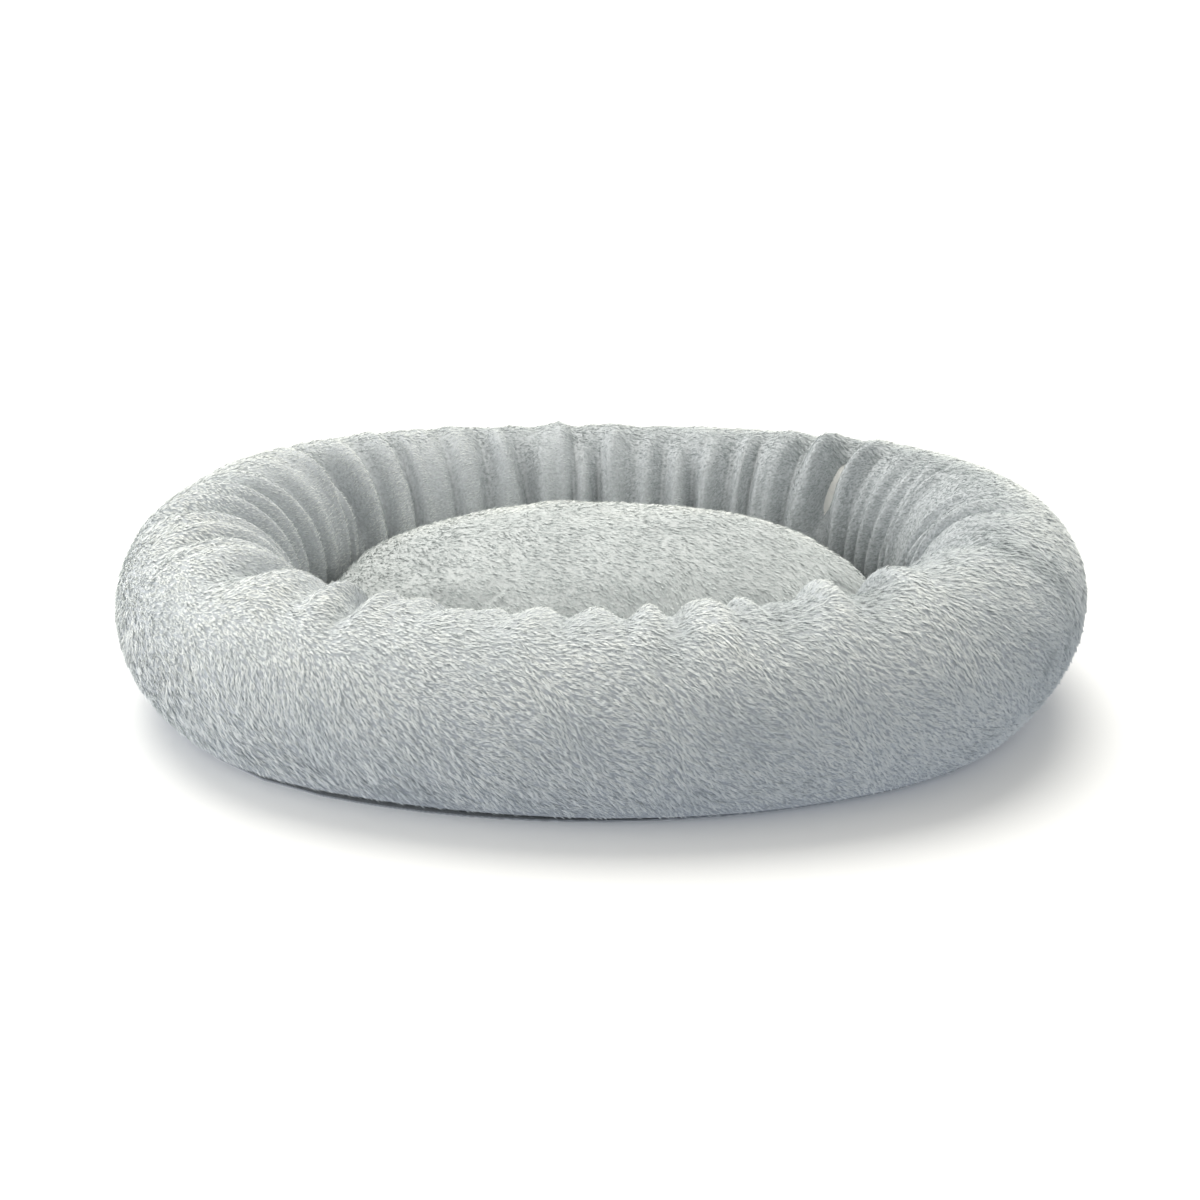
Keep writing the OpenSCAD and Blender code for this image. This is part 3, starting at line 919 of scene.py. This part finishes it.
def cushion_shape(plan, points, inset):
    """Moves a unit ball's points to the cushion's form: a dome over a rounded sole"""
    widest, crown, sole = 0.066, 0.162, plan.floor + 0.0004
    level = np.hypot(points[:, 0], points[:, 1])
    turn = np.arctan2(points[:, 1], points[:, 0])
    # the ball's turn becomes the turn of the oval's normal
    up = points[:, 2] >= 0
    edge = -plan.tube - 0.001 - inset
    z = np.where(up, widest + (crown - inset - widest) * points[:, 2], 0)
    drop = -np.minimum(points[:, 2], 0)           # 0 at the waist, 1 at the sole
    z = np.where(up, z, widest - (widest - sole - inset * 0.3) * np.minimum(1.25 * drop, 1))
    shy = np.where(up, 0, 0.008 * smooth_step(widest - z, 0, 0.028)
                   + 0.022 * smooth_step(0.026 - z, 0, 0.024) ** 2)
    x, y = plan.middle(turn)
    rim_x = x + (edge - shy) * np.cos(turn)
    rim_y = y + (edge - shy) * np.sin(turn)
    reach = np.where(up, level, np.where(drop < 0.8, 1, level / 0.6))
    return np.column_stack([rim_x * reach, rim_y * reach, z])


class BED_OT_cushion(bpy.types.Operator):
    """Makes the loose cushion: swollen plush with broad dents, over a plain sole"""
    bl_idname = "bed.cushion"
    bl_label = "Cushion"

    def execute(self, context):
        plan = Plan()
        bm = bmesh.new()
        bmesh.ops.create_uvsphere(bm, u_segments=128, v_segments=64, radius=1)
        skin = new_piece(bm, "cushion_cloth")
        points = cushion_shape(plan, coordinates(skin.data), 0.004)
        move_points(skin.data, points)
        remesh = skin.modifiers.new("Remesh", "REMESH")
        remesh.mode, remesh.voxel_size = "VOXEL", 0.005
        remeshed = bpy.data.meshes.new_from_object(
            skin.evaluated_get(context.evaluated_depsgraph_get()))
        skin.modifiers.clear()
        skin.data = remeshed
        remeshed.shade_smooth()
        points = coordinates(remeshed)
        top = smooth_step(points[:, 2], 0.06, 0.10)
        dents = (0.0035 * Ripple(31, 0.16).at(points) + 0.0018 * Ripple(32, 0.07).at(points))
        points[:, 2] += top * dents
        move_points(remeshed, points)
        swell(skin, CLOTH_PRESSURE, CLOTH_FRAMES, CLOTH_CAP, points[:, 2] < 0.045,
              bending=0.1)
        points = coordinates(remeshed)
        points[:, 2] = np.minimum(points[:, 2], 0.166)
        move_points(remeshed, points)
        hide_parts("cushion_top_panel", "cushion_bottom_panel")
        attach(skin, "cushion")
        remeshed.materials.clear()
        remeshed.materials.append(backing_finish("Cushion backing", (0.60, 0.63, 0.63)))

        normals = normals_of(remeshed)
        way = np.tile([0.9, -0.35, 0.0], (len(points), 1))
        lay = lie_of(normals, way, 0.35, points, 41, 0.35)
        fullness = smooth_step(points[:, 2], 0.042, 0.05)
        length = np.full(len(points), 1.0)
        # random tone, with painted shade: the cushion's front half darker, lighter towards the
        # back
        shade = (0.24 + 0.08 * Ripple(42, 0.09).at(points) + 0.06 * Ripple(43, 0.02).at(points)
                 + 0.50 * smooth_step(points[:, 1], -0.06, 0.16))
        part = np.where(face_centres(remeshed)[:, 0] < 0, 0, 1)
        dress(skin, lay, fullness, length, shade, part)
        style = context.scene.cushion_pile
        kinds = locks("cushion_lock", style)
        tree = pile_tree(kinds, style.spacing, style.tousle)
        finish = pile_finish("Cushion pile", style.root, style.tip)
        for piece in grow_pile(skin, CUSHION_PILE, tree, finish):
            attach(piece, "cushion")
        put_away(kinds)
        return {"FINISHED"}


# ---- the bags and the filling inside

def inner_piece(bm, name, node, body, slot, material, shape):
    """A bag or filling, shaped point by point, that stands for its node"""
    piece = new_piece(bm, name)
    move_points(piece.data, shape(coordinates(piece.data)))
    piece.data.materials.append(material)
    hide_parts(node)
    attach(piece, body)


class BED_OT_fillings(bpy.types.Operator):
    """Makes the inner bags of ring and cushion, and the fibre that fills them"""
    bl_idname = "bed.fillings"
    bl_label = "Bags and filling"

    def execute(self, context):
        plan = Plan()
        cotton = woven_finish("Lining cotton", (0.90, 0.90, 0.87), 0.0009, 0.15)
        fibre = fibre_finish("Wadding fibre", (0.95, 0.95, 0.93))
        rows = (("ring_bag", "ring_liner", "lining", cotton, 0.026),
                ("ring_wadding", "ring_fill", "wadding", fibre, 0.028))
        for name, node, slot, finish, deep in rows:
            inner_piece(
                spun_tube(plan, plan.tube - deep, 48, 0.012), name, node, "ring", slot,
                finish, lambda points: slumped(plan, np.column_stack([
                    points[:, :2], np.maximum(points[:, 2], plan.floor + deep * 0.1)])))
        rows = (("cushion_bag", "cushion_liner", "lining", cotton, 0.014),
                ("cushion_wadding", "cushion_fill", "wadding", fibre, 0.017))
        for name, node, slot, finish, deep in rows:
            ball = bmesh.new()
            bmesh.ops.create_uvsphere(ball, u_segments=64, v_segments=32, radius=1)
            inner_piece(ball, name, node, "cushion", slot, finish,
                        lambda points: cushion_shape(plan, points, deep) + np.array(
                            (0, 0, 0.15 * deep)))
        return {"FINISHED"}


# ---- the zips

class ZipPlace:
    """Where a zip runs on the back: its frame is x out of the cloth, y along, z across"""

    def __init__(self, plan, name):
        sizes = getattr(bpy.context.scene, name)
        self.half = sizes.length / 2
        self.centre = Vector((0, -plan.side_c, 0))
        self.lean = Matrix.Translation((plan.side_r, 0, sizes.height)) @ Matrix.Rotation(
            sizes.drop, 4, "Y") @ Matrix.Translation((sizes.out, 0, 0))
        self.radius = self.lean.translation.x

    def at(self, along):
        """The frame at a length along the zip from its middle"""
        turn = math.pi / 2 + along / self.radius
        return Matrix.Translation(self.centre) @ Matrix.Rotation(turn, 4, "Z") @ self.lean


def beads(place, start, stop, pitch, offset, size, around=8, up=5):
    """A row of rounded beads along a zip, all spun from the first: teeth or stitches"""
    bm = bmesh.new()
    bmesh.ops.create_uvsphere(
        bm, u_segments=around, v_segments=up, radius=1,
        matrix=place.at(start) @ Matrix.Translation(offset) @ Matrix.Diagonal((*size, 1)))
    bmesh.ops.spin(
        bm, geom=bm.verts[:] + bm.edges[:] + bm.faces[:], cent=place.centre,
        axis=(0, 0, 1), angle=(stop - start) / place.radius,
        steps=round((stop - start) / pitch), use_duplicate=True)
    return bm


def crisp(node, width):
    """Welds a frame node's loose triangles and rounds its edges"""
    piece = frame["nodes"][node]
    weld = piece.modifiers.new("Weld", "WELD")
    weld.merge_threshold = 1e-5
    bevel = piece.modifiers.new("Bevel", "BEVEL")
    bevel.width, bevel.segments, bevel.limit_method = width, 2, "ANGLE"
    bevel.angle_limit = math.radians(35)


class BED_OT_zips(bpy.types.Operator):
    """Makes both zips: turned coils, stitched tapes, stops, sliders and pulls"""
    bl_idname = "bed.zips"
    bl_label = "Zips"

    def execute(self, context):
        plan = Plan()
        tape = woven_finish("Zip tape", (0.60, 0.62, 0.63), 0.0011, 0.35)
        coil = coil_finish("Zip coil", (0.58, 0.60, 0.61))
        metal = metal_finish("Zip metal", (0.62, 0.62, 0.61))
        thread = thread_finish("Zip thread", (0.66, 0.68, 0.69))
        for name, body in (("ring_zip", "ring"), ("cushion_zip", "cushion")):
            place = ZipPlace(plan, name)
            half = place.half
            for side, sign in (("upper", 1), ("lower", -1)):
                repaint(f"{name}_tape_{side}", tape)
                teeth = new_piece(beads(
                    place, -half + 0.0035, half - 0.0035, 0.0019,
                    (0.00105, 0, sign * 0.0021), (0.0008, 0.00078, 0.0014)),
                    f"{name}_teeth_{side}")
                teeth.data.materials.append(coil)
                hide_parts(f"{name}_coil_{side}")
                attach(teeth, body)
                row = new_piece(beads(
                    place, -half + 0.003, half - 0.003, 0.0042,
                    (0.0003, 0, sign * 0.0053), (0.00025, 0.0015, 0.0003), 6, 4),
                    f"{name}_stitches_{side}")
                row.data.materials.append(thread)
                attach(row, body)
            for part, width in (("stops", 0.0004), ("slider", 0.00035), ("pull", 0.0003)):
                crisp(f"{name}_{part}", width)
                repaint(f"{name}_{part}", metal)
        return {"FINISHED"}


# ---- the underside

def stitch_row(plan, name, out, z, pitch, material):
    """Stitches laid flat all round the bed, a distance out from the middle line"""
    bm = bmesh.new()
    turn = -plan.end_half
    for centre, radius, angle in plan.arcs:
        count = round(radius * angle / pitch)
        lie = Matrix.Rotation(turn, 4, "Z") @ Matrix.Translation((radius + out, 0, z))
        first = bmesh.ops.create_uvsphere(
            bm, u_segments=6, v_segments=4, radius=1,
            matrix=Matrix.Translation(centre) @ lie
            @ Matrix.Diagonal((0.0004, 0.0017, 0.0003, 1)))["verts"]
        stitch = set(first)
        geom = first + [e for e in bm.edges if e.verts[0] in stitch] + [
            f for f in bm.faces if f.verts[0] in stitch]
        bmesh.ops.spin(
            bm, geom=geom, cent=centre, axis=(0, 0, 1),
            angle=angle * (count - 1) / count, steps=count - 1, use_duplicate=True)
        turn += angle
    row = new_piece(bm, name)
    row.data.materials.append(material)
    return row


class BED_OT_underside(bpy.types.Operator):
    """Finishes the base, its binding, the grip dots, the gathering tape and the label"""
    bl_idname = "bed.underside"
    bl_label = "Underside"

    def execute(self, context):
        plan = Plan()
        repaint("base_panel", woven_finish("Base cloth", (0.30, 0.32, 0.34), 0.0012, 0.45))
        repaint("seam_binding", woven_finish("Binding", (0.52, 0.54, 0.55), 0.0016, 0.4))
        repaint("gather_tape", woven_finish("Gather tape", (0.70, 0.71, 0.71), 0.0014, 0.3))
        repaint("grip_dots", rubber_finish("Grip rubber", (0.06, 0.065, 0.07)))
        repaint("care_label", woven_finish("Label satin", (0.90, 0.90, 0.88), 0.0006, 0.1,
                                           rough=0.4))
        thread = thread_finish("Base thread", (0.60, 0.62, 0.63))
        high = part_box("seam_binding")[1].x - plan.half_l
        for name, step in (("binding_stitches_outer", 0.002), ("binding_stitches_inner", 0.010)):
            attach(stitch_row(plan, name, high - step, 0.0001, 0.0048, thread), "ring")
        return {"FINISHED"}


# ---- the stage

class BED_OT_stage(bpy.types.Operator):
    """Lays the floor and sets the lights and the camera"""
    bl_idname = "bed.stage"
    bl_label = "Stage"

    def execute(self, context):
        scene = context.scene
        look = scene.bed_stage
        bm = bmesh.new()
        bmesh.ops.create_grid(bm, x_segments=1, y_segments=1, size=200)
        floor = new_piece(bm, "floor")
        paint = bpy.data.materials.new("Floor paint")
        paint.use_nodes = True
        shader = paint.node_tree.nodes["Principled BSDF"]
        shader.inputs["Base Color"].default_value = (0.93, 0.93, 0.93, 1)
        shader.inputs["Roughness"].default_value = 0.8
        floor.data.materials.append(paint)

        floor.visible_diffuse = False      # the low light comes from the world instead
        world = bpy.data.worlds.new("Studio")
        world.use_nodes = True
        tree = world.node_tree
        back = tree.nodes["Background"]
        aim = tree.nodes.new("ShaderNodeTexCoord")
        split = tree.nodes.new("ShaderNodeSeparateXYZ")
        tree.links.new(aim.outputs["Generated"], split.inputs[0])
        sky = ramp_of(tree, ((0.44, look.low_light), (0.85, look.high_light)))
        lift = tree.nodes.new("ShaderNodeMapRange")
        lift.inputs["From Min"].default_value = -1
        tree.links.new(split.outputs["Z"], lift.inputs["Value"])
        tree.links.new(lift.outputs[0], sky.inputs[0])
        tree.links.new(sky.outputs[0], back.inputs["Color"])
        back.inputs["Strength"].default_value = look.ambient
        scene.world = world
        lamp = bpy.data.lights.new("Key", "SUN")
        lamp.energy, lamp.angle, lamp.color = look.key, look.softness, (1, 0.985, 0.93)
        light = bpy.data.objects.new("Key", lamp)
        scene.collection.objects.link(light)
        light.rotation_euler = Vector((0.12, -0.72, -1)).to_track_quat(
            "-Z", "Y").to_euler()
        lamp = bpy.data.lights.new("Fill", "AREA")
        lamp.energy, lamp.size = look.fill, 1.0
        light = bpy.data.objects.new("Fill", lamp)
        scene.collection.objects.link(light)
        light.location = (-1.7, -0.5, 0.22)
        light.rotation_euler = (-light.location).to_track_quat("-Z", "Y").to_euler()
        scene.view_settings.view_transform = "Standard"

        turn, tilt, away = math.radians(1.66), math.radians(21.35), 2.2
        camera = bpy.data.objects.new("Camera", bpy.data.cameras.new("Camera"))
        scene.collection.objects.link(camera)
        target = Vector((0, 0, 0.085))
        camera.location = target + away * Vector((
            -math.sin(turn) * math.cos(tilt), -math.cos(turn) * math.cos(tilt),
            math.sin(tilt)))
        camera.rotation_euler = (target - camera.location).to_track_quat(
            "-Z", "Y").to_euler()
        camera.data.lens = 36 * 2238 / 1200
        camera.data.shift_x, camera.data.shift_y = -0.002, -0.002
        scene.camera = camera
        return {"FINISHED"}


STEPS = (BED_OT_ring, BED_OT_cushion, BED_OT_fillings, BED_OT_zips, BED_OT_underside,
         BED_OT_stage)
SETTINGS = {
    "bed_plan": PlanSizes, "bed_slump": SlumpSizes, "ring_pile": RingPile,
    "cushion_pile": CushionPile, "ring_zip": RingZip, "cushion_zip": CushionZip,
    "bed_stage": StageLook}


class BED_PT_steps(bpy.types.Panel):
    """The steps that build the bed, in order, over the sizes that they read"""
    bl_idname = "BED_PT_steps"
    bl_label = "Donut Pet Bed"
    bl_space_type = "VIEW_3D"
    bl_region_type = "UI"
    bl_category = "Pet Bed"

    def draw(self, context):
        for step in STEPS:
            self.layout.operator(step.bl_idname)
        for name, kind in SETTINGS.items():
            box = self.layout.box()
            for key in kind.__annotations__:
                box.prop(getattr(context.scene, name), key)


CLASSES = (*SETTINGS.values(), *STEPS, BED_PT_steps)


def register():
    for kind in CLASSES:
        bpy.utils.register_class(kind)
    for name, kind in SETTINGS.items():
        setattr(bpy.types.Scene, name, PointerProperty(type=kind))


def unregister():
    for name in SETTINGS:
        delattr(bpy.types.Scene, name)
    for kind in reversed(CLASSES):
        bpy.utils.unregister_class(kind)


def main():
    register()
    bpy.ops.bed.ring()
    bpy.ops.bed.cushion()
    bpy.ops.bed.fillings()
    bpy.ops.bed.zips()
    bpy.ops.bed.underside()
    bpy.ops.bed.stage()


if __name__ == "__main__":
    main()
